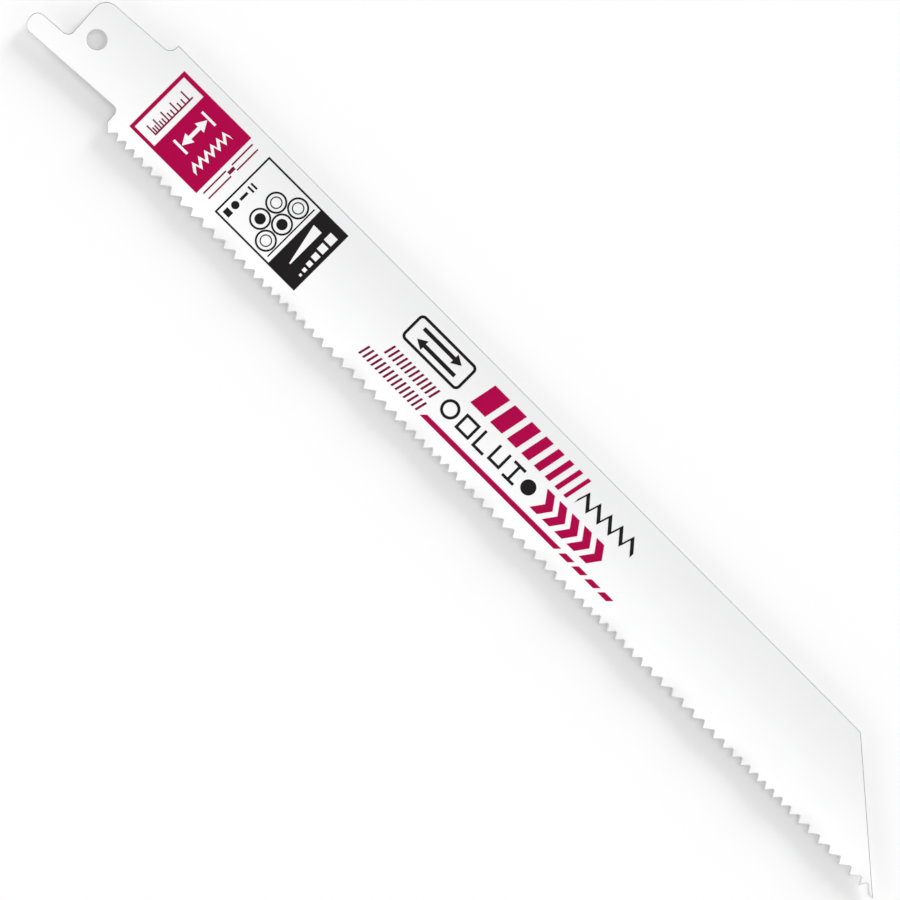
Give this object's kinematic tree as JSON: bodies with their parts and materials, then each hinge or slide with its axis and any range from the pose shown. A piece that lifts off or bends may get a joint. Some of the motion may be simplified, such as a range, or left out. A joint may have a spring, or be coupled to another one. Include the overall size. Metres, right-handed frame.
{
  "type": "reciprocating saw blade",
  "caption": "Painted flat steel blade with a canted, notched shank and pin hole, wavy-set teeth of varying pitch, and a steeply raked nose.",
  "frame": {"origin": "centre of the shank hole, half way through the plate", "axes": "+X from the shank to the nose along the tooth tips, +Y towards the back edge, +Z out of the printed face; the blade lies flat on its other face"},
  "size_m": [0.2032, 0.0188, 0.0012],
  "materials": {
    "enamel": "satin",
    "magenta_ink": "satin",
    "black_ink": "satin"
  },
  "bodies": {
    "root": {"blade": "enamel"}
  },
  "joints": []
}
